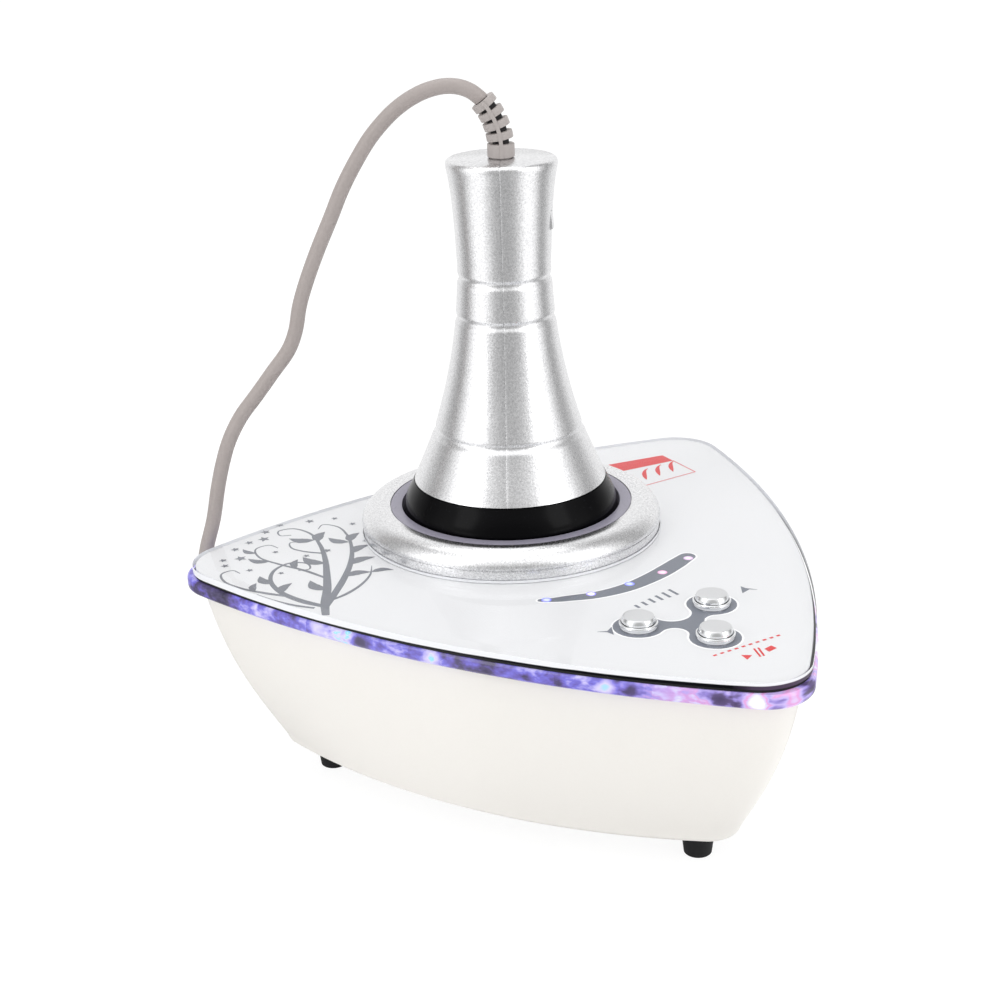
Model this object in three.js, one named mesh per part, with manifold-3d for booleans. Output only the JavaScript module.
// Cavitation slimming machine: a three-cornered base with a lit edge and a glass top, and a
// bell-shaped ultrasound handset that stands in a silver dish and hangs on a cord.
// Millimetres, +Z up, floor at z = 0, front corner towards -Y, sockets on the rear side (+Y).
import * as THREE from 'three';
import { mergeVertices } from 'three/addons/utils/BufferGeometryUtils.js';
import Module from 'manifold-3d';

const wasm = await Module();
wasm.setup();

// Clearances that every piece shares
const seat = 0.1; // between faces that are stacked on each other
const play = 0.3; // between pieces that fit into each other
const overrun = 4; // how far a cut runs past the faces it opens

// Outlines of the base seen from above, each a triangle with bowed sides and rounded corners:
// reach from the middle to the sharp corner, radius of the bowed side, radius of the rounding
const bandPlan = { reach: 139.3, bow: 405, fillet: 16.2 };
// How much smaller each of these is than the band's outline
const glassLess = { reach: 2.2, bow: 33, fillet: -1.5 };
const rimLess = { reach: 5.5, bow: -7, fillet: 1 };
const bottomLess = { reach: 34.8, bow: 170, fillet: 4.5 };
const bandLess = ({ reach, bow, fillet }) => ({
  reach: bandPlan.reach - reach, bow: bandPlan.bow - bow, fillet: bandPlan.fillet - fillet,
});
const glassPlan = bandLess(glassLess);
const rimPlan = bandLess(rimLess);
const bottomPlan = bandLess(bottomLess);
const filletSteps = 4;
const sideSteps = 8;

// Heights of the stack, from the floor up
const footHeight = 12;
const houseHeight = 63.3;
const bandHeight = 5.1;
const gasketHeight = 0.8;
const glassLand = 0.5; // upright edge of the glass, under its bevel
const glassRise = 2.45; // height of the bevel
const houseBase = footHeight + seat;
const houseTop = houseBase + houseHeight;
const bandBase = houseTop + seat;
const bandTop = bandBase + bandHeight;
const gasketBase = bandTop + seat;
const gasketTop = gasketBase + gasketHeight;
const glassBase = gasketTop + seat;
const glassTop = glassBase + glassLand + glassRise;

// Housing
const house = { wall: 2.6, floor: 3, edge: 2.6, bulgeShare: 0.145, outerSteps: 6, innerSteps: 4 };
const footInset = 16.45; // feet, pillars and screws, in from the bottom's corners
const pillar = { radius: 5.2, bore: 3.4, shelf: 3, sides: 12 };
const pillarTop = 66;
const vent = { width: 3, length: 30, pitch: 7, count: 5, offset: 26 };
const standoff = { radius: 3, height: 5, across: 88, along: 54, sides: 10 };
const bay = { width: 70, low: 33, high: 59, set: 3.4, wall: 2.5 }; // recess for the sockets

// Light band, its strip of diodes, gasket, glass and inner frame
const band = { width: 10, edge: 1, soften: 0.15, shoulder: 0.85 };
const strip = { inset: 11.9, thick: 0.7, height: 4.4 };
const diode = { width: 5, proud: 1.5, height: 3.2, perSide: 5 };
const gasket = { inset: 0.4, width: 8.6 };
const glass = { bevel: 4.6, landInset: 0.25 };
const frame = { inset: 13, thick: 3 };
const boss = { radius: 3.6, bore: 1.8, sides: 12 };
const screw = { headRadius: 2.9, headHeight: 2.2, shank: 1.5, reach: 14, sides: 10 };

// Dish that the handset stands in, close to the rear side
const dishMargin = 3.4; // from its widest ring to the band's rear side
const dish = {
  bore: 42.3, rim: 45, foot: 55.2, widest: 55.6, crown: 49,
  collar: 3.2, groove: 0.5, crownHeight: 9.6, rimHeight: 9.1, sides: 36,
};
const cup = { radius: 40.4, wall: 1.6, flange: 1.1, edge: 0.6, depth: 19.45, base: 2 };

// Control panel: buttons are placed back from the front corner, lamps on an arc before the dish
const buttons = { side: 15.2, sideBack: 61.5, startBack: 40.4, travel: 0.8 };
const button = { base: 5.65, top: 5.2, height: 3.8, soft: 0.45, stem: 3, clip: 3.5, clipHeight: 1 };
const bezel = { radius: 6.45, height: 0.9, wall: 0.5, soft: 0.3 };
const lamp = { beyond: 17.4, step: 12.1, count: 5, radius: 1.5, flange: 1.9, flangeHeight: 1, slot: 2.4 };
const board = {
  thick: 1.6, drop: 6.6, width: 72, noseWidth: 28, pastLamps: 10, pastSide: 18.6, pastStart: 6.3,
};
const tact = { side: 6, height: 3.5, plunger: 1.75, plungerHeight: 0.5 };

// Main board and what stands on it
const mainBoard = { width: 96, depth: 62, thick: 1.6 };
const core = { width: 32, depth: 26, height: 25, leg: 7, x: -26, y: -8 };
const sink = { width: 44, depth: 13, height: 27, base: 3, fin: 1.6, fins: 6, x: 18, y: 17 };
const chip = { width: 10, height: 15, thick: 4.4, lift: 4, spacing: 20 };
const can = { radius: 8, height: 26, groove: 0.5, grooveAt: 4, x: 26, y: -14, spacing: 19 };
const buzzer = { radius: 6, height: 7, hole: 1.2, x: -28, y: 18 };
const ribbon = { width: 18, thick: 0.5, x: -6, onMain: 6.5, onControl: 4 };

// Sockets and switch in the rear bay
const socket = {
  x: -24, flange: 10, flangeThick: 2, body: 7.9, depth: 15, thread: 7, reach: 7, bore: 5.2,
  boreDepth: 5, nut: 10.5, nutThick: 3, sides: 24,
};
const plug = {
  nose: 4.9, noseLength: 4.6, ring: 8.7, ringLength: 10, shell: 6.6, shellLength: 17,
  tail: 4.3, tip: 3.6, tailLength: 10, ribs: 12, ribDepth: 0.5,
};
const inlet = {
  x: 25, flange: 7.5, flangeThick: 1.5, body: 5.8, depth: 13, bore: 3.2, boreDepth: 8.5, pin: 1,
  nut: 8, nutThick: 2.5, sides: 20,
};
const power = {
  x: 3, width: 21, height: 15, lip: 1.8, bodyWidth: 19, bodyHeight: 13, depth: 14,
  wellWidth: 15.6, wellHeight: 9.4, wellDepth: 8, tilt: 7,
};
const rocker = {
  half: 7, end: 1.9, valley: 0.7, shoulder: 6.2, shoulderDepth: 1.6, heel: 2.4, heelDepth: 4.4,
  pivotDepth: 2.4, height: 8.6,
};

// Feet
const foot = { top: 6.25, bottom: 4.8, hollow: 2.2, hollowDepth: 0.8, spigot: 3.1, spigotLength: 6 };
const footSides = 14;

// Handset, measured upwards from its treatment face
const handsetTurn = -34.7; // degrees: the seam of the two shells faces the front left
const handsetLift = 80;
const shell = { start: 38.25, end: 155.6, radius: 35.3, wall: 2.2, cap: 2.4, hole: 4.2, sides: 32 };
const seam = 0.12; // half of the gap between the two shells
const ringGroove = { half: 0.75, depth: 0.5 };
const grooveHeights = [57.2, 99.2, 113.7];
// Outline of the grip: share of the shell's length, share of its radius at the lower edge
const gripShares = [
  [0, 1], [0.153, 0.785], [0.232, 0.703], [0.308, 0.635], [0.385, 0.579], [0.461, 0.535],
  [0.537, 0.503], [0.614, 0.484], [0.669, 0.474], [0.743, 0.482], [0.813, 0.493], [0.89, 0.512],
  [0.948, 0.537], [0.972, 0.552], [0.984, 0.558], [0.995, 0.55], [1, 0.527],
];
const head = {
  widest: 40, waist: 39.7, shoulder: 38.8, mouth: 35, wall: 28.6, seatRadius: 33.5,
  neck: 31, neckHeight: 3.5, mouthHeight: 1.5, roundHeight: 5.2, lowHeight: 10.7, midHeight: 18.7,
  highHeight: 24.7, shoulderHeight: 31.2, seatHeight: 6.7,
};
const face = { radius: 33.2, flat: 31.5, soft: 1.2, collar: 28.3, collarTop: 12.7, top: 19, height: 28.7 };
const stack = { radius: 19, disc: 5, back: 16, bolt: 4, boltDepth: 14, bolthead: 6.5, headHeight: 6 };
const stackSides = 16;
const key = { low: 131, high: 137.2, half: 4.5, inner: 14.4, proud: 0.85, hinge: 16 };
const keyBoard = { x: 8.75, thick: 1.2, half: 10.4, low: 122.5, high: 144.5 };

// Strain relief on the handset: a slotted sleeve that bends towards the cord's arch
const boot = {
  flange: 6.2, flangeThick: 2.2, neck: 3.9, core: 3.2, base: 4.85, tip: 4.45, straight: 3.3,
  bend: 25.6, length: 21.4, first: 0.35, firstLength: 4.65, pitch: 4.1, collar: 2.7, collars: 5,
  spine: 1.4, spineProud: 0.2, spineRoot: 2.6, sides: 12,
};
const archAzimuth = 150; // degrees: the vertical plane that the cord arches in

// Cord
const cordDiameter = 5.5;
const cordSides = 8;
const coil = {
  x: 20, y: 164, inner: 24, gap: 0.6, lie: 0.03, turnsIn: 2.5, turnsOut: 2, steps: 24, sides: 6,
};
// Arch of the cord in its plane: distance out from the dish axis, height above the floor
const archRoute = [
  [9.51, 243.9], [12.18, 245.19], [14.95, 245.9], [17.84, 246.12], [20.69, 245.9], [25.56, 244.67],
  [30.08, 242.64], [34.33, 239.97], [38.24, 236.81], [44.8, 229.8], [50, 222.2], [55.6, 212.5], [60.6, 201.6], [65.9, 190.3],
  [70.6, 179], [73.4, 170.8], [75.5, 161.5], [78.5, 154.6], [84.8, 146.4], [91.2, 138.1],
  [97.6, 130], [102.3, 121.5], [105.4, 112.9], [108, 103.2], [110.7, 90.7], [114.2, 79.1],
];
// Then down behind the left corner and along the floor to the coil
const groundRoute = [
  [-99, 112.5, 68.5], [-95.5, 115.5, 57], [-88, 118, 44], [-77.5, 121, 30.5], [-65, 124, 18],
  [-51, 126, 8.5], [-37, 127, 4], [-24, 127.2, 2.9], [-10, 127.2, 2.8],
];
// From the top of the coil back to the plug
const tailRoute = [
  [4, 196.8, 9.2], [-6, 194.5, 10.8], [-15, 189, 14.5], [-21, 180.5, 20.5], [-24, 170, 28.5],
  [-24.8, 158, 37.5], [-24.2, 147, 43.7],
];

// Finishes
function finish(color, roughness, metalness = 0, more = {}) {
  return new THREE.MeshStandardMaterial({ color, roughness, metalness, ...more });
}

const shellWhite = finish(0xf0ece6, 0.45);
const frameWhite = finish(0xe8e8e6, 0.6);
const glassWhite = finish(0xf4f6f8, 0.08);
const clearAcrylic = finish(0xb9b6ff, 0.1, 0, { transparent: true, opacity: 0.6 });
const silverPaint = finish(0xc9cace, 0.32, 0.85);
const chromed = finish(0xd8dadd, 0.08, 1);
const steel = finish(0xb4b7ba, 0.3, 0.9);
const aluminium = finish(0xb9bcc0, 0.4, 0.8);
const brass = finish(0xc8a45a, 0.35, 0.8);
const linerViolet = finish(0x8f8aa3, 0.35);
const headBlack = finish(0x060607, 0.06);
const softBlack = finish(0x151516, 0.8);
const hardBlack = finish(0x1c1c1e, 0.45);
const cordGrey = finish(0xb3aaa6, 0.5);
const circuitGreen = finish(0x1f5b3a, 0.5);
const ceramicWhite = finish(0xe9e4d8, 0.55);
const ferriteGrey = finish(0x3a3a3d, 0.6);
const lampClear = finish(0xcfd6ff, 0.15);
const ribbonGrey = finish(0x9a9ca0, 0.6);

// Solids

// A closed body from any geometry: corners merged, slivers dropped, faces pointing out
function closed(geometry) {
  const bare = geometry.clone();
  for (const name of Object.keys(bare.attributes)) {
    if (name !== 'position') bare.deleteAttribute(name);
  }
  const merged = mergeVertices(bare);
  const at = merged.attributes.position;
  const from = merged.index.array;
  const corner = [0, 1, 2].map(() => new THREE.Vector3());
  const kept = [];
  let volume = 0;
  for (let i = 0; i < from.length; i += 3) {
    const [a, b, c] = [from[i], from[i + 1], from[i + 2]];
    if (a === b || b === c || c === a) continue;
    corner.forEach((v, k) => v.fromBufferAttribute(at, [a, b, c][k]));
    volume += corner[0].dot(corner[1].clone().cross(corner[2]));
    kept.push(a, b, c);
  }
  if (volume < 0) {
    for (let i = 0; i < kept.length; i += 3) [kept[i], kept[i + 1]] = [kept[i + 1], kept[i]];
  }
  merged.setIndex(kept);
  return merged;
}

function toSolid(geometry) {
  const body = closed(geometry);
  const vertProperties = new Float32Array(body.attributes.position.array);
  const triVerts = new Uint32Array(body.index.array);
  return new wasm.Manifold(new wasm.Mesh({ numProp: 3, vertProperties, triVerts }));
}

function toGeometry(solid) {
  const { vertProperties, triVerts } = solid.getMesh();
  const geometry = new THREE.BufferGeometry();
  geometry.setAttribute('position', new THREE.BufferAttribute(vertProperties, 3));
  geometry.setIndex(new THREE.BufferAttribute(triVerts, 1));
  return geometry;
}

const join = (...pieces) => toGeometry(pieces.map(toSolid).reduce((a, b) => a.add(b)));
const cut = (body, ...tools) => (
  toGeometry(tools.map(toSolid).reduce((a, b) => a.subtract(b), toSolid(body)))
);
const common = (a, b) => toGeometry(toSolid(a).intersect(toSolid(b)));

// A block from its low and high corners
function block([x0, y0, z0], [x1, y1, z1]) {
  const geometry = new THREE.BoxGeometry(x1 - x0, y1 - y0, z1 - z0);
  return geometry.translate((x0 + x1) / 2, (y0 + y1) / 2, (z0 + z1) / 2);
}

// An upright cylinder between two heights
function column(radius, low, high, sides, x = 0, y = 0) {
  const geometry = new THREE.CylinderGeometry(radius, radius, high - low, sides);
  return geometry.rotateX(Math.PI / 2).translate(x, y, (low + high) / 2);
}

// A body turned around +Z from [radius, height] points; a ring's outline closes on itself
function turned(points, sides) {
  const onAxis = points[0][0] === 0 && points.at(-1)[0] === 0;
  const outline = (onAxis ? points : [...points, points[0]]).map(([r, z]) => new THREE.Vector2(r, z));
  return new THREE.LatheGeometry(outline, sides).rotateX(Math.PI / 2);
}

// A flat outline of [x, y] points raised between two heights
function prism(points, low, high) {
  const shape = new THREE.Shape(points.map(([x, y]) => new THREE.Vector2(x, y)));
  const options = { depth: high - low, bevelEnabled: false, curveSegments: 1 };
  return new THREE.ExtrudeGeometry(shape, options).translate(0, 0, low);
}

// Rings of equally many corners, skinned one after the other; a loop closes on its first ring
function skinned(rings, loop = false) {
  const count = rings[0].length;
  const corners = rings.flat();
  const index = [];
  for (let j = 0; j < rings.length - (loop ? 0 : 1); j++) {
    const next = (j + 1) % rings.length;
    for (let i = 0; i < count; i++) {
      const [a, b] = [j * count + i, j * count + ((i + 1) % count)];
      const [d, c] = [next * count + i, next * count + ((i + 1) % count)];
      index.push(a, b, c, a, c, d);
    }
  }
  if (!loop) {
    for (const [ring, first] of [[rings[0], 0], [rings.at(-1), (rings.length - 1) * count]]) {
      const middle = ring.reduce((sum, p) => sum.add(p), new THREE.Vector3()).divideScalar(count);
      const tip = corners.push(middle) - 1;
      for (let i = 0; i < count; i++) {
        const [a, b] = [first + i, first + ((i + 1) % count)];
        index.push(tip, ...(first === 0 ? [b, a] : [a, b]));
      }
    }
  }
  const geometry = new THREE.BufferGeometry().setFromPoints(corners);
  geometry.setIndex(index);
  return geometry;
}

// The three-cornered outline

const sideDrop = ({ reach, bow }) => Math.sqrt(bow ** 2 - 0.75 * reach ** 2) - reach / 2;
const sideMiddle = (plan) => plan.bow - sideDrop(plan);

function filletCentre(plan) {
  const drop = sideDrop(plan);
  return (Math.sqrt(4 * (plan.bow - plan.fillet) ** 2 - 3 * drop ** 2) - drop) / 2;
}

const cornerTip = (plan) => filletCentre(plan) + plan.fillet;
const footCircle = cornerTip(bottomPlan) - footInset;
const dishBehind = sideMiddle(bandPlan) - dishMargin - dish.widest;
const cornerAngles = [-Math.PI / 2, Math.PI / 6, (5 * Math.PI) / 6]; // front, right, left
const polar = (length, angle) => new THREE.Vector2(length * Math.cos(angle), length * Math.sin(angle));

// The corners of the outline, counter-clockwise from the front corner, drawn in by an inset
function outlineOf(plan, inset = 0) {
  const reach = filletCentre(plan);
  const drop = sideDrop(plan);
  const points = [];
  for (const angle of cornerAngles) {
    const corner = polar(reach, angle);
    const side = polar(-drop, angle + Math.PI / 3);
    const lean = corner.clone().sub(side).angle() - angle;
    const half = Math.atan2(Math.sin(lean), Math.cos(lean));
    for (let i = 0; i < filletSteps; i++) {
      const turn = angle + half * ((2 * i) / filletSteps - 1);
      points.push(corner.clone().add(polar(plan.fillet - inset, turn)));
    }
    const sweep = Math.PI / 3 - half;
    for (let i = 0; i < sideSteps; i++) {
      const turn = angle + half + (2 * sweep * i) / sideSteps;
      points.push(side.clone().add(polar(plan.bow - inset, turn)));
    }
  }
  return points;
}

const ringOf = (plan, inset, z) => outlineOf(plan, inset).map(({ x, y }) => new THREE.Vector3(x, y, z));
const raised = (plan, inset, low, high) => skinned([ringOf(plan, inset, low), ringOf(plan, inset, high)]);
const hoop = (plan, section) => skinned(section.map(([inset, z]) => ringOf(plan, inset, z)), true);

// Where the pieces stand: the origin is under the middle of the band's box
const centroidY = (cornerTip(bandPlan) - sideMiddle(bandPlan)) / 2;
const dishY = centroidY + dishBehind;
const part = new THREE.Group();
const base = new THREE.Group();
base.position.y = centroidY;
const nest = new THREE.Group(); // the dish's axis
nest.position.y = dishBehind;
part.add(base);
base.add(nest);

function add(name, geometry, material, parent = base) {
  const mesh = new THREE.Mesh(closed(geometry), material);
  mesh.name = name;
  parent.add(mesh);
  return mesh;
}

const corners = cornerAngles.map((angle) => polar(footCircle, angle));

// Housing: a moulded tub whose wall bulges between the rim's outline and the smaller bottom's

const edgeTop = houseBase + house.edge;

function wallPlan(z) {
  const down = Math.min(1, Math.max(0, (houseTop - z) / (houseTop - edgeTop)));
  const share = down - house.bulgeShare * Math.sin(Math.PI * down);
  const mix = (size) => THREE.MathUtils.lerp(rimPlan[size], bottomPlan[size], share);
  return { reach: mix('reach'), bow: mix('bow'), fillet: mix('fillet') };
}

const roundSteps = 3;
const outerRings = [];
for (let i = 0; i < roundSteps; i++) {
  const turn = (Math.PI / 2) * (i / roundSteps);
  const z = houseBase + house.edge * (1 - Math.cos(turn));
  outerRings.push(ringOf(wallPlan(z), house.edge * (1 - Math.sin(turn)), z));
}
for (let i = 0; i <= house.outerSteps; i++) {
  const z = THREE.MathUtils.lerp(edgeTop, houseTop, i / house.outerSteps);
  outerRings.push(ringOf(wallPlan(z), 0, z));
}
const innerRings = [];
for (let i = 0; i <= house.innerSteps; i++) {
  const z = THREE.MathUtils.lerp(houseBase + house.floor, houseTop + overrun, i / house.innerSteps);
  innerRings.push(ringOf(wallPlan(z), house.wall, z));
}

// The rear bay is cut square into the bulged wall, with a wall of its own behind it
const bayY = sideMiddle(wallPlan(bay.low)) - bay.set;
const bayMiddle = (bay.low + bay.high) / 2;
const rearReach = sideMiddle(rimPlan) + overrun;
const bayBox = (grow, y) => block(
  [-bay.width / 2 - grow, y, bay.low - grow],
  [bay.width / 2 + grow, rearReach, bay.high + grow],
);
const through = (radius, sides, x) => new THREE.CylinderGeometry(radius, radius, 2 * overrun, sides)
  .translate(x, bayY, bayMiddle);

const powerHole = block(
  [power.x - power.bodyWidth / 2 - play, bayY - overrun, bayMiddle - power.bodyHeight / 2 - play],
  [power.x + power.bodyWidth / 2 + play, bayY + overrun, bayMiddle + power.bodyHeight / 2 + play],
);

const ventSlots = [];
for (const side of [-1, 1]) {
  for (let i = 0; i < vent.count; i++) {
    const x = side * vent.offset;
    const y = (i - (vent.count - 1) / 2) * vent.pitch;
    ventSlots.push(block(
      [x - vent.length / 2, y - vent.width / 2, houseBase - overrun],
      [x + vent.length / 2, y + vent.width / 2, houseBase + house.floor + overrun],
    ));
  }
}

const outerSolid = skinned(outerRings);
const floorTop = houseBase + house.floor;
const standoffTop = floorTop + standoff.height;
const standoffs = [];
for (const x of [-standoff.across / 2, standoff.across / 2]) {
  for (const y of [-standoff.along / 2, standoff.along / 2]) {
    standoffs.push(column(standoff.radius, houseBase + house.floor / 2, standoffTop, standoff.sides, x, y));
  }
}
const pillars = corners.map(({ x, y }) => (
  column(pillar.radius, houseBase + house.floor / 2, pillarTop, pillar.sides, x, y)
));
const pillarBores = corners.flatMap(({ x, y }) => [
  column(pillar.bore, houseBase - overrun, pillarTop - pillar.shelf, pillar.sides, x, y),
  column(boss.bore, pillarTop - pillar.shelf - overrun, pillarTop + overrun, pillar.sides, x, y),
]);
const tub = join(
  cut(outerSolid, skinned(innerRings)), common(outerSolid, bayBox(bay.wall, bayY - bay.wall)),
  ...standoffs, ...pillars,
);
add('housing_shell', cut(
  tub, bayBox(0, bayY), powerHole, through(socket.body + play, socket.sides, socket.x),
  through(inlet.body + play, inlet.sides, inlet.x), ...ventSlots, ...pillarBores,
), shellWhite);

// Rubber feet: their spigots close the screw wells
const footOutline = [
  [0, foot.hollowDepth], [foot.hollow, foot.hollowDepth], [foot.hollow, 0], [foot.bottom, 0],
  [foot.top, footHeight], [foot.spigot, footHeight], [foot.spigot, footHeight + foot.spigotLength],
  [0, footHeight + foot.spigotLength],
];
const screwTop = pillarTop - pillar.shelf - seat;
const screwOutline = [
  [0, screwTop - screw.headHeight], [screw.headRadius, screwTop - screw.headHeight],
  [screw.headRadius, screwTop], [screw.shank, screwTop], [screw.shank, screwTop + screw.reach],
  [0, screwTop + screw.reach],
];
['front', 'right', 'left'].forEach((side, i) => {
  const { x, y } = corners[i];
  add(`foot_${side}`, turned(footOutline, footSides), softBlack).position.set(x, y, 0);
  add(`case_screw_${side}`, turned(screwOutline, screw.sides), steel).position.set(x, y, 0);
});

// Light band: a clear ring with softened edges, and the strip of diodes that shines into it
const bandSection = [
  [band.width, bandBase], [band.edge, bandBase], [band.soften, bandBase + band.shoulder],
  [0, bandBase + bandHeight / 2], [band.soften, bandTop - band.shoulder], [band.edge, bandTop],
  [band.width, bandTop],
];
add('light_band', hoop(bandPlan, bandSection), clearAcrylic);

const stripBase = bandBase + (bandHeight - strip.height) / 2;
const stripBand = hoop(bandPlan, [
  [strip.inset + strip.thick, stripBase], [strip.inset, stripBase],
  [strip.inset, stripBase + strip.height], [strip.inset + strip.thick, stripBase + strip.height],
]);
const diodes = [];
for (const angle of cornerAngles) {
  const side = polar(-sideDrop(bandPlan), angle + Math.PI / 3);
  const start = polar(filletCentre(bandPlan), angle).sub(side).angle();
  const end = polar(filletCentre(bandPlan), angle + (2 * Math.PI) / 3).sub(side).angle();
  const sweep = (end - start + 2 * Math.PI) % (2 * Math.PI);
  for (let i = 0; i < diode.perSide; i++) {
    const turn = start + (sweep * (i + 0.5)) / diode.perSide;
    const back = bandPlan.bow - strip.inset - strip.thick / 2;
    const low = bandBase + (bandHeight - diode.height) / 2;
    diodes.push(block(
      [back, -diode.width / 2, low], [back + diode.proud, diode.width / 2, low + diode.height],
    ).rotateZ(turn).translate(side.x, side.y, 0));
  }
}
add('led_strip', join(stripBand, ...diodes), frameWhite);

add('glass_gasket', hoop(glassPlan, [
  [gasket.width, gasketBase], [gasket.inset, gasketBase], [gasket.inset, gasketTop],
  [gasket.width, gasketTop],
]), softBlack);

// Glass top: an upright land, a wide bevel, and holes for the dish and the buttons
const sideY = buttons.sideBack - cornerTip(bandPlan);
const startY = buttons.startBack - cornerTip(bandPlan);
const buttonPlaces = [
  ['intensity_down', -buttons.side, sideY], ['intensity_up', buttons.side, sideY],
  ['start_pause', 0, startY],
];
const buttonSides = 16;
const glassHole = button.base + play;
add('top_glass', cut(
  skinned([
    ringOf(glassPlan, glass.landInset, glassBase), ringOf(glassPlan, 0, glassBase + glassLand),
    ringOf(glassPlan, glass.bevel, glassTop),
  ]),
  column(dish.foot + play, glassBase - overrun, glassTop + overrun, dish.sides, 0, dishBehind),
  ...buttonPlaces.map(([, x, y]) => (
    column(glassHole, glassBase - overrun, glassTop + overrun, buttonSides, x, y)
  )),
), glassWhite);

// Inner frame: glued under the glass, screwed to the pillars, and the guide of the buttons
const frameTop = glassBase - seat;
const frameBase = frameTop - frame.thick;
const arcSlot = (radius, half, spread, low, high) => {
  const points = [];
  const steps = 12;
  const angleAt = (i) => -Math.PI / 2 + spread * ((2 * i) / steps - 1);
  for (let i = 0; i <= steps; i++) points.push(polar(radius + half, angleAt(i)));
  for (let i = steps; i >= 0; i--) points.push(polar(radius - half, angleAt(i)));
  return prism(points.map(({ x, y }) => [x, y]), low, high).translate(0, dishBehind, 0);
};
const lampArc = dish.widest + lamp.beyond;
const lampStep = THREE.MathUtils.degToRad(lamp.step);
const lampSpread = lampStep * ((lamp.count - 1) / 2 + 0.35);
add('top_frame', cut(
  join(
    raised(bandPlan, frame.inset, frameBase, frameTop),
    ...corners.map(({ x, y }) => (
      column(boss.radius, pillarTop + seat, frameBase + frame.thick / 2, boss.sides, x, y)
    )),
  ),
  column(dish.bore, frameBase - overrun, frameTop + overrun, dish.sides, 0, dishBehind),
  arcSlot(lampArc, lamp.slot, lampSpread, frameBase - overrun, frameTop + overrun),
  ...buttonPlaces.map(([, x, y]) => (
    column(button.stem + play, frameBase - overrun, frameTop + overrun, buttonSides, x, y)
  )),
  ...corners.map(({ x, y }) => (
    column(boss.bore, pillarTop - overrun, screwTop + screw.reach + play, boss.sides, x, y)
  )),
), frameWhite);

// Dish: a silver collar that stands on the frame and comes up through the glass, with a rolled lip,
// and the cup inside it
const dishBase = glassTop + seat;
const shelf = dishBase + dish.rimHeight - cup.flange - seat;
const lipRise = dish.crownHeight - dish.collar - dish.groove;
const lip = (share, radius) => [radius, dishBase + dish.collar + dish.groove + lipRise * share];
add('dish_ring', turned([
  [dish.bore, frameTop + seat], [dish.foot, frameTop + seat], [dish.foot, glassTop],
  [dish.widest, dishBase + dish.collar],
  [dish.widest - dish.groove, dishBase + dish.collar + dish.groove / 2],
  lip(0, dish.widest), lip(0.2, dish.widest - dish.groove / 3),
  lip(0.48, THREE.MathUtils.lerp(dish.widest, dish.crown, 0.16)),
  lip(0.76, THREE.MathUtils.lerp(dish.widest, dish.crown, 0.4)),
  lip(0.94, THREE.MathUtils.lerp(dish.widest, dish.crown, 0.7)), lip(1, dish.crown),
  lip(0.97, THREE.MathUtils.lerp(dish.rim, dish.crown, 0.45)),
  [dish.rim, dishBase + dish.rimHeight], [dish.rim, shelf], [dish.bore, shelf],
], dish.sides), silverPaint, nest);

const cupFloor = glassTop - cup.depth;
const cupOuter = cup.radius + cup.wall;
const cupTop = shelf + seat + cup.flange;
const cupFloorEdge = 3;
add('dish_liner', turned([
  [0, cupFloor - cup.base], [cupOuter - cupFloorEdge, cupFloor - cup.base],
  [cupOuter, cupFloor - cup.base + cupFloorEdge], [cupOuter, shelf + seat],
  [dish.rim - play, shelf + seat], [dish.rim - play, cupTop], [cup.radius + cup.edge, cupTop],
  [cup.radius, cupTop - cup.edge], [cup.radius, cupFloor + cup.edge],
  [cup.radius - cup.edge, cupFloor], [0, cupFloor],
], dish.sides), linerViolet, nest);

// Control board under the frame, with its lamps and switches
const boardTop = frameBase - board.drop;
const boardHole = boss.radius + play;
const noseY = startY - board.pastStart;
const shoulderY = sideY + board.pastSide;
const boardBack = dishBehind - lampArc + board.pastLamps;
add('control_board', cut(
  prism([
    [-board.width / 2, shoulderY], [-board.noseWidth / 2, noseY], [board.noseWidth / 2, noseY],
    [board.width / 2, shoulderY], [board.width / 2, boardBack], [-board.width / 2, boardBack],
  ], boardTop - board.thick, boardTop),
  column(boardHole, boardTop - overrun, boardTop + overrun, boss.sides, corners[0].x, corners[0].y),
), circuitGreen);

const lampTop = glassBase - play;
const lampOutline = [
  [0, boardTop + seat], [lamp.flange, boardTop + seat],
  [lamp.flange, boardTop + seat + lamp.flangeHeight], [lamp.radius, boardTop + seat + lamp.flangeHeight],
  [lamp.radius, lampTop - lamp.radius], [lamp.radius * Math.SQRT1_2, lampTop - lamp.radius * 0.3],
  [0, lampTop],
];
const lampSides = 10;
for (let i = 0; i < lamp.count; i++) {
  const place = polar(lampArc, -Math.PI / 2 + (i - (lamp.count - 1) / 2) * lampStep);
  add(`indicator_led_${i + 1}`, turned(lampOutline, lampSides), lampClear, nest)
    .position.set(place.x, place.y, 0);
}

// Buttons: each cap slides in a chromed bezel and in the frame, and clips under the frame
const clipTop = frameBase - play;
const clipBase = clipTop - button.clipHeight;
const capBase = frameTop + buttons.travel + play;
const capTop = glassTop + button.height;
const capOutline = [
  [0, clipBase], [button.clip, clipBase], [button.clip, clipTop], [button.stem, clipTop],
  [button.stem, capBase], [button.base, capBase], [button.base, glassTop + bezel.height],
  [button.top, capTop - 2 * button.soft], [button.top - button.soft, capTop - button.soft / 2],
  [button.top / 2, capTop - button.soft / 8], [0, capTop],
];
const bezelOutline = [
  [bezel.radius - bezel.wall, glassTop + seat], [bezel.radius, glassTop + seat],
  [bezel.radius, glassTop + bezel.height - bezel.soft],
  [bezel.radius - bezel.soft, glassTop + bezel.height],
  [bezel.radius - bezel.wall, glassTop + bezel.height],
];
const tactTop = clipBase - buttons.travel - play - tact.plungerHeight;
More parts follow.
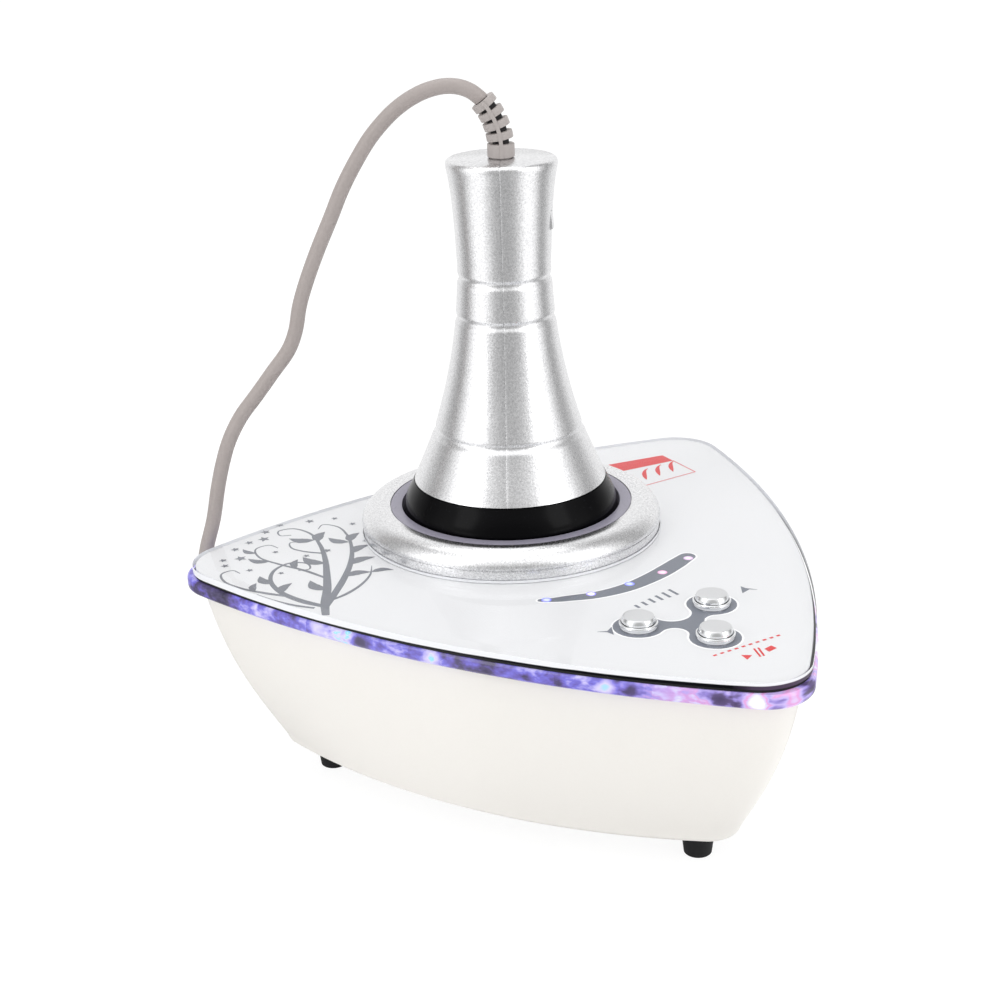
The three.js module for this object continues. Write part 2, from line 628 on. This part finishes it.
const tactBody = join(
  block([-tact.side / 2, -tact.side / 2, boardTop + seat], [tact.side / 2, tact.side / 2, tactTop]),
  column(tact.plunger, boardTop + tact.height / 2, tactTop + tact.plungerHeight, lampSides),
);
for (const [name, x, y] of buttonPlaces) {
  add(`${name}_button`, turned(capOutline, buttonSides), chromed).position.set(x, y, 0);
  add(`${name}_bezel`, turned(bezelOutline, buttonSides), chromed).position.set(x, y, 0);
  add(`${name}_switch`, tactBody, hardBlack).position.set(x, y, 0);
}

// Main board on the housing's standoffs
const mainTop = standoffTop + seat + mainBoard.thick;
add('main_board', block(
  [-mainBoard.width / 2, -mainBoard.depth / 2, standoffTop + seat],
  [mainBoard.width / 2, mainBoard.depth / 2, mainTop],
), circuitGreen);
const standing = mainTop + seat;

// Ferrite transformer: a core with three legs and the winding around the middle one
const coreInner = core.width / 2 - core.leg;
add('output_transformer', join(
  cut(
    block([-core.width / 2, -core.leg, 0], [core.width / 2, core.leg, core.height]),
    block(
      [-coreInner, -core.leg - overrun, core.leg],
      [coreInner, core.leg + overrun, core.height - core.leg],
    ),
  ),
  column(core.depth / 2, core.leg / 2, core.height - core.leg / 2, 20),
), ferriteGrey).position.set(core.x, core.y, standing);

// Heat sink: a plate with fins, and the two power transistors clamped to its face
const fins = [];
for (let i = 0; i < sink.fins; i++) {
  const x = ((sink.width - sink.fin) * i) / (sink.fins - 1);
  fins.push(block([x, sink.base / 2, 0], [x + sink.fin, sink.depth, sink.height]));
}
for (const side of [-1, 1]) {
  const x = (sink.width + side * chip.spacing) / 2;
  fins.push(block(
    [x - chip.width / 2, -chip.thick, chip.lift],
    [x + chip.width / 2, sink.base / 2, chip.lift + chip.height],
  ));
}
add('heat_sink', join(block([0, 0, 0], [sink.width, sink.base, sink.height]), ...fins), aluminium)
  .position.set(sink.x - sink.width / 2, sink.y, standing);

for (let i = 0; i < 2; i++) {
  add(`filter_capacitor_${i + 1}`, turned([
    [0, 0], [can.radius, 0], [can.radius, can.grooveAt],
    [can.radius - can.groove, can.grooveAt + can.groove],
    [can.radius, can.grooveAt + 2 * can.groove], [can.radius, can.height - can.groove],
    [can.radius - can.groove, can.height], [0, can.height],
  ], 16), hardBlack).position.set(can.x - i * can.spacing, can.y, standing);
}

add('buzzer', turned([
  [0, 0], [buzzer.radius, 0], [buzzer.radius, buzzer.height], [buzzer.hole, buzzer.height],
  [buzzer.hole, buzzer.height / 2], [0, buzzer.height / 2],
], 16), hardBlack).position.set(buzzer.x, buzzer.y, standing);

// Ribbon cable that hangs in a slack curve between the two boards
const ribbonTop = boardTop - board.thick - seat;
const ribbonFrom = ribbon.onMain - mainBoard.depth / 2;
const ribbonTo = boardBack - ribbon.onControl;
const ribbonCurve = new THREE.CubicBezierCurve(
  new THREE.Vector2(ribbonFrom, standing), new THREE.Vector2(ribbonFrom, (standing + ribbonTop) / 2),
  new THREE.Vector2(ribbonTo, (standing + ribbonTop) / 2), new THREE.Vector2(ribbonTo, ribbonTop),
);
const ribbonLine = ribbonCurve.getPoints(8);
const ribbonEdge = [
  ...ribbonLine.map(({ x, y }) => [x, y]),
  ...ribbonLine.map(({ x, y }) => [x + ribbon.thick, y]).reverse(),
];
add('ribbon_cable', prism(ribbonEdge, 0, ribbon.width).applyMatrix4(
  new THREE.Matrix4().makeBasis(
    new THREE.Vector3(0, 1, 0), new THREE.Vector3(0, 0, 1), new THREE.Vector3(1, 0, 0),
  ),
), ribbonGrey).position.x = ribbon.x - ribbon.width / 2;

// Handset socket, its nut behind the wall, power inlet and its nut: each on an axis along +Y
const rear = new THREE.Group();
rear.position.set(0, bayY, bayMiddle);
base.add(rear);
const outward = (geometry) => geometry.rotateX(-Math.PI / 2); // +Z to +Y
const faceY = socket.flangeThick + socket.reach;
add('handset_socket', outward(turned([
  [0, -socket.depth], [socket.body, -socket.depth], [socket.body, seat], [socket.flange, seat],
  [socket.flange, socket.flangeThick], [socket.thread, socket.flangeThick], [socket.thread, faceY],
  [socket.bore, faceY], [socket.bore, faceY - socket.boreDepth], [0, faceY - socket.boreDepth],
], socket.sides)), steel, rear).position.x = socket.x;

const hexNut = (across, bore, thick, sides) => cut(
  column(across, 0, thick, 6), column(bore, -overrun, thick + overrun, sides),
);
const socketNut = hexNut(socket.nut, socket.body + play, socket.nutThick, socket.sides);
add('socket_nut', outward(socketNut), steel, rear)
  .position.set(socket.x, -bay.wall - seat - socket.nutThick, 0);

add('power_inlet', outward(turned([
  [0, -inlet.depth], [inlet.body, -inlet.depth], [inlet.body, seat], [inlet.flange, seat],
  [inlet.flange, inlet.flangeThick], [inlet.bore, inlet.flangeThick],
  [inlet.bore, inlet.flangeThick - inlet.boreDepth], [inlet.pin, inlet.flangeThick - inlet.boreDepth],
  [inlet.pin, 0], [0, inlet.pin],
], inlet.sides)), hardBlack, rear).position.x = inlet.x;
const inletNut = hexNut(inlet.nut, inlet.body + play, inlet.nutThick, inlet.sides);
add('inlet_nut', outward(inletNut), steel, rear)
  .position.set(inlet.x, -bay.wall - seat - inlet.nutThick, 0);

// Power switch: a frame with a well, and the rocker that tilts in it
add('power_switch', cut(
  join(
    block([-power.width / 2, seat, -power.height / 2], [power.width / 2, power.lip, power.height / 2]),
    block(
      [-power.bodyWidth / 2, -power.depth, -power.bodyHeight / 2],
      [power.bodyWidth / 2, power.lip / 2, power.bodyHeight / 2],
    ),
  ),
  block(
    [-power.wellWidth / 2, power.lip - power.wellDepth, -power.wellHeight / 2],
    [power.wellWidth / 2, power.lip + overrun, power.wellHeight / 2],
  ),
), hardBlack, rear).position.x = power.x;

const rockerOutline = [
  [-rocker.half, rocker.end], [-rocker.shoulder, -rocker.shoulderDepth],
  [-rocker.heel, -rocker.heelDepth], [rocker.heel, -rocker.heelDepth],
  [rocker.shoulder, -rocker.shoulderDepth], [rocker.half, rocker.end],
  [0, rocker.valley],
].map(([x, y]) => [x, y + rocker.pivotDepth]);
const rockerMesh = add(
  'power_rocker', prism(rockerOutline, -rocker.height / 2, rocker.height / 2), hardBlack, rear,
);
rockerMesh.position.set(power.x, power.lip - rocker.pivotDepth, 0);
rockerMesh.rotation.z = THREE.MathUtils.degToRad(-power.tilt);

// Handset: two half shells over a black head ring that holds the ultrasound transducer

const handset = new THREE.Group();
handset.position.z = cupFloor + play;
handset.rotation.z = THREE.MathUtils.degToRad(handsetTurn);
nest.add(handset);

const shellLength = shell.end - shell.start;
const grip = gripShares.map(([along, across]) => (
  [shell.start + along * shellLength, across * shell.radius]
));

function gripRadius(height) {
  const next = Math.max(1, grip.findIndex(([z]) => z >= height));
  const [[z0, r0], [z1, r1]] = [grip[next - 1], grip[next]];
  return THREE.MathUtils.mapLinear(height, z0, z1, r0, r1);
}

const clearOfGrooves = ([z]) => grooveHeights.every((g) => Math.abs(g - z) > 2 * ringGroove.half);
const grooves = grooveHeights.flatMap((g) => [
  [g - ringGroove.half, gripRadius(g - ringGroove.half)],
  [g, gripRadius(g) - ringGroove.depth],
  [g + ringGroove.half, gripRadius(g + ringGroove.half)],
]);
const outside = [...grip.filter(clearOfGrooves), ...grooves].sort((a, b) => a[0] - b[0]);
const underCap = shell.end - shell.cap;
const inside = grip.filter(([z], i) => z < underCap - shell.wall && i % 2 === 0)
  .map(([z, r]) => [z, r - shell.wall]);
const shellOutline = [
  ...outside.map(([z, r]) => [r, z]), [shell.hole, shell.end], [shell.hole, underCap],
  [gripRadius(underCap) - shell.wall, underCap], ...inside.reverse().map(([z, r]) => [r, z]),
];
const wholeShell = turned(shellOutline, shell.sides);
const halfSpace = (side) => {
  const far = shell.radius + overrun;
  const near = side * seam;
  return block(
    [Math.min(-side * far, near), -far, shell.start - overrun],
    [Math.max(-side * far, near), far, shell.end + overrun],
  );
};
const keyWindow = block(
  [key.inner - overrun, -key.half - play, key.low - play],
  [shell.radius, key.half + play, key.high + play],
);
add('handset_shell_left', cut(wholeShell, halfSpace(-1)), silverPaint, handset);
add('handset_shell_right', cut(wholeShell, halfSpace(1), keyWindow), silverPaint, handset);

const headTop = shell.start - play;
add('head_ring', turned([
  [head.seatRadius, head.mouthHeight], [head.mouth, head.mouthHeight],
  [(head.mouth + head.widest) / 2 + play, (head.mouthHeight + head.roundHeight) / 2 - play],
  [head.waist, head.roundHeight], [head.widest, head.lowHeight], [head.widest, head.midHeight],
  [head.waist, head.highHeight], [head.shoulder, head.shoulderHeight], [shell.radius + play, headTop],
  [head.neck, headTop], [head.neck, headTop + head.neckHeight], [head.wall, headTop + head.neckHeight],
  [head.wall, head.seatHeight], [head.seatRadius, head.seatHeight],
], shell.sides), headBlack, handset);

// Transducer: the treatment face with its horn, two piezo discs, a back mass and the bolt
const boltBore = stack.bolt + play;
const discBase = face.height + seat;
const backBase = discBase + 2 * (stack.disc + seat);
const backTop = backBase + stack.back;
add('treatment_face', turned([
  [0, 0], [face.flat, 0], [face.radius, face.soft], [face.radius, head.seatHeight - play],
  [face.collar, head.seatHeight - play], [face.collar, face.collarTop], [face.top, face.height],
  [boltBore, face.height], [boltBore, face.height - stack.boltDepth - play],
  [0, face.height - stack.boltDepth - play],
], shell.sides), aluminium, handset);
const tubeRing = (outer, bore, low, high) => turned(
  [[bore, low], [outer, low], [outer, high], [bore, high]], stackSides,
);
for (let i = 0; i < 2; i++) {
  const low = discBase + i * (stack.disc + seat);
  const disc = tubeRing(stack.radius, boltBore, low, low + stack.disc);
  add(`piezo_disc_${i + 1}`, disc, ceramicWhite, handset);
}
add('back_mass', tubeRing(stack.radius, boltBore, backBase, backTop), steel, handset);
add('clamp_bolt', join(
  column(stack.bolt, face.height - stack.boltDepth, backTop + stack.headHeight / 2, 16),
  column(stack.bolthead, backTop + seat, backTop + seat + stack.headHeight, 6),
), steel, handset);

// Side key, hinged at its upper edge, and the small board with its switch
const ringKey = turned([
  [key.inner, key.low], [gripRadius(key.low) + key.proud, key.low],
  [gripRadius(key.high) - seat, key.high], [key.inner, key.high],
], 2 * shell.sides);
const keyBlock = block(
  [key.inner / 2, -key.half, key.low - overrun], [shell.radius, key.half, key.high + overrun],
);
add('handset_key', common(ringKey, keyBlock), silverPaint, handset);
const keyMiddle = (key.low + key.high) / 2;
const keyBoardFace = keyBoard.x + keyBoard.thick;
add('handset_board', block(
  [keyBoard.x, -keyBoard.half, keyBoard.low], [keyBoardFace, keyBoard.half, keyBoard.high],
), circuitGreen, handset);
add('handset_switch', join(
  block(
    [keyBoardFace + seat, -tact.side / 2, keyMiddle - tact.side / 2],
    [keyBoardFace + tact.height, tact.side / 2, keyMiddle + tact.side / 2],
  ),
  column(tact.plunger, tact.height / 2, tact.height + tact.plungerHeight, lampSides)
    .rotateY(Math.PI / 2).translate(keyBoardFace, 0, keyMiddle),
), hardBlack, handset);

// Strain relief: a core, a row of collars and two spines, all along a path that bends over
const bootGroup = new THREE.Group();
bootGroup.position.z = handset.position.z + shell.end;
bootGroup.rotation.z = THREE.MathUtils.degToRad(archAzimuth);
nest.add(bootGroup);

// Place and lean of the sleeve's axis at a length from the cap, in its own X-Z plane
function bootPath(length) {
  const turn = Math.max(0, length - boot.straight) / boot.bend;
  const upright = Math.min(length, boot.straight);
  return {
    x: boot.bend * (1 - Math.cos(turn)), z: upright + boot.bend * Math.sin(turn), turn,
  };
}

const onBoot = (geometry, length) => {
  const { x, z, turn } = bootPath(length);
  return geometry.rotateY(turn).translate(x, 0, z);
};
const bootRadius = (length) => THREE.MathUtils.mapLinear(length, 0, boot.length, boot.base, boot.tip);
const sleeve = [];
const coreSteps = 6;
const coreRings = [];
for (let i = 0; i <= coreSteps; i++) {
  const length = boot.straight + ((boot.length - boot.straight - boot.collar / 2) * i) / coreSteps;
  const { x, z, turn } = bootPath(length);
  coreRings.push(Array.from({ length: boot.sides }, (_, k) => {
    const { x: across, y } = polar(boot.core, (2 * Math.PI * k) / boot.sides);
    return new THREE.Vector3(x + across * Math.cos(turn), y, z - across * Math.sin(turn));
  }));
}
sleeve.push(skinned(coreRings));
for (let i = 0; i < boot.collars; i++) {
  const thick = i === 0 ? boot.firstLength : boot.collar;
  const middle = boot.first + boot.firstLength + i * boot.pitch - thick / 2;
  sleeve.push(onBoot(column(bootRadius(middle), -thick / 2, thick / 2, boot.sides), middle));
}
for (const side of [-1, 1]) {
  const rings = [];
  for (let i = 0; i <= coreSteps; i++) {
    const from = boot.first + boot.collar / 2;
    const length = THREE.MathUtils.lerp(from, boot.length - boot.collar / 2, i / coreSteps);
    const { x, z, turn } = bootPath(length);
    const outer = bootRadius(length) + boot.spineProud;
    const section = [[-1, boot.spineRoot], [1, boot.spineRoot], [1, outer], [-1, outer]];
    rings.push(section.map(([half, y]) => {
      const across = (half * boot.spine) / 2;
      return new THREE.Vector3(x + across * Math.cos(turn), side * y, z - across * Math.sin(turn));
    }));
  }
  sleeve.push(skinned(rings));
}
sleeve.push(
  column(boot.core, -shell.cap, boot.straight + boot.collar / 2, boot.sides),
  column(boot.neck, -shell.cap - play - boot.flangeThick / 2, boot.first + seat, boot.sides),
  column(boot.flange, -shell.cap - play - boot.flangeThick, -shell.cap - play, boot.sides),
);
add('cord_boot', join(...sleeve), cordGrey, bootGroup);

// Plug in the handset socket: nose, ribbed coupling ring, shell and tapered tail, one moulding
const plugNose = faceY - plug.noseLength;
const plugStart = socket.flangeThick + play;
const ringEnd = plugStart + plug.ringLength;
const shellEnd = ringEnd + plug.shellLength;
const plugEnd = shellEnd + plug.tailLength;
const plugSoft = plug.ribDepth;
const plugBody = turned([
  [0, plugNose], [plug.nose, plugNose], [plug.nose, faceY + play], [socket.thread + play, faceY + play],
  [socket.thread + play, plugStart], [plug.ring, plugStart], [plug.ring, ringEnd],
  [plug.shell, ringEnd], [plug.shell, shellEnd - plugSoft], [plug.shell - plugSoft, shellEnd],
  [plug.tail, shellEnd], [plug.tip, plugEnd], [0, plugEnd],
], socket.sides);
const ringNotches = [];
for (let i = 0; i < plug.ribs; i++) {
  const notch = block(
    [plug.ring - plug.ribDepth, -plug.ribDepth, plugStart + plug.ringLength / 4],
    [plug.ring + overrun, plug.ribDepth, ringEnd + overrun],
  );
  ringNotches.push(notch.rotateZ((2 * Math.PI * i) / plug.ribs));
}
add('handset_plug', outward(cut(plugBody, ...ringNotches)), steel, rear).position.x = socket.x;

// Cord: an arch down to the floor, a coil of two layers, and a tail that rises to the plug

const cordRadius = cordDiameter / 2;
const archWay = THREE.MathUtils.degToRad(archAzimuth);
const onArch = ([out, z]) => new THREE.Vector3(out * Math.cos(archWay), dishY + out * Math.sin(archWay), z);

function cordTube(points) {
  const line = new THREE.CatmullRomCurve3(points, false, 'centripetal');
  const round = Array.from({ length: cordSides }, (_, i) => (
    polar(cordRadius, (2 * Math.PI * i) / cordSides)
  ));
  const steps = Math.round(line.getLength() / (1.8 * cordDiameter));
  console.log(`cord stretch: ${line.getLength().toFixed(1)} mm in ${steps} steps`);
  return new THREE.ExtrudeGeometry(new THREE.Shape(round), { steps, extrudePath: line });
}

const coilPitch = cordDiameter + coil.gap;
const coilSpan = coil.turnsIn + coil.turnsOut;

// Middle of the wound cord after a number of turns: in along the floor, out on top of that
function coilPoint(turns) {
  const past = turns - coil.turnsIn;
  const radius = coil.inner + coilPitch * Math.abs(past);
  const climb = THREE.MathUtils.clamp(2 * past + 0.5, 0, 1);
  const spot = polar(radius, -Math.PI / 2 + 2 * Math.PI * turns);
  return new THREE.Vector3(coil.x + spot.x, coil.y + spot.y, coil.lie + cordRadius + coilPitch * climb);
}

const coilLine = [];
const coilSteps = Math.round(coilSpan * coil.steps);
for (let i = 0; i <= coilSteps; i++) coilLine.push(coilPoint((coilSpan * i) / coilSteps));
const coilStart = coilLine[0].clone().add(new THREE.Vector3(-cordDiameter, 0, 0));
const coilEnd = coilLine.at(-1).clone().add(new THREE.Vector3(-cordDiameter, 0, 0));
coilLine.unshift(coilStart);
coilLine.push(coilEnd);

let leastGap = Infinity;
for (let i = 0; i < coilLine.length; i++) {
  for (let j = i + coil.steps / 3; j < coilLine.length; j++) {
    leastGap = Math.min(leastGap, coilLine[i].distanceTo(coilLine[j]) - cordDiameter);
  }
}
console.log(`coil: least gap to itself ${leastGap.toFixed(2)} mm`);

const coilRings = coilLine.map((spot, i) => {
  const ends = i === 0 || i === coilLine.length - 1;
  const before = coilLine[Math.max(0, i - 1)];
  const after = coilLine[Math.min(coilLine.length - 1, i + 1)];
  const along = after.clone().sub(before).setZ(ends ? 0 : after.z - before.z).normalize();
  const side = along.clone().cross(new THREE.Vector3(0, 0, 1)).normalize();
  const up = side.clone().cross(along);
  return Array.from({ length: coil.sides }, (_, k) => {
    const { x, y } = polar(cordRadius, (2 * Math.PI * k) / coil.sides + Math.PI / 2);
    return spot.clone().addScaledVector(side, x).addScaledVector(up, y);
  });
});
add('cord_coil', skinned(coilRings), cordGrey, part);

const bootEnd = bootPath(boot.length);
const bootTop = bootGroup.position.z;
const leaving = (length) => onArch([
  bootEnd.x + length * Math.sin(bootEnd.turn), bootTop + bootEnd.z + length * Math.cos(bootEnd.turn),
]);
add('cord_free', cordTube([
  leaving(play), leaving(play * 3),
  ...archRoute.map(onArch), ...groundRoute.map((point) => new THREE.Vector3(...point)),
  coilStart.clone().add(new THREE.Vector3(-cordDiameter, 0, 0)),
  coilStart.clone().add(new THREE.Vector3(-play, 0, 0)),
]), cordGrey, part);

const plugTip = new THREE.Vector3(socket.x, centroidY + bayY + plugEnd, bayMiddle);
add('cord_tail', cordTube([
  coilEnd.clone().add(new THREE.Vector3(-play, 0, 0)),
  coilEnd.clone().add(new THREE.Vector3(-play - cordDiameter, 0, 0)),
  ...tailRoute.map((point) => new THREE.Vector3(...point)),
  plugTip.clone().add(new THREE.Vector3(0, cordDiameter, 0)),
  plugTip.clone().add(new THREE.Vector3(0, play, 0)),
]), cordGrey, part);

export default part;
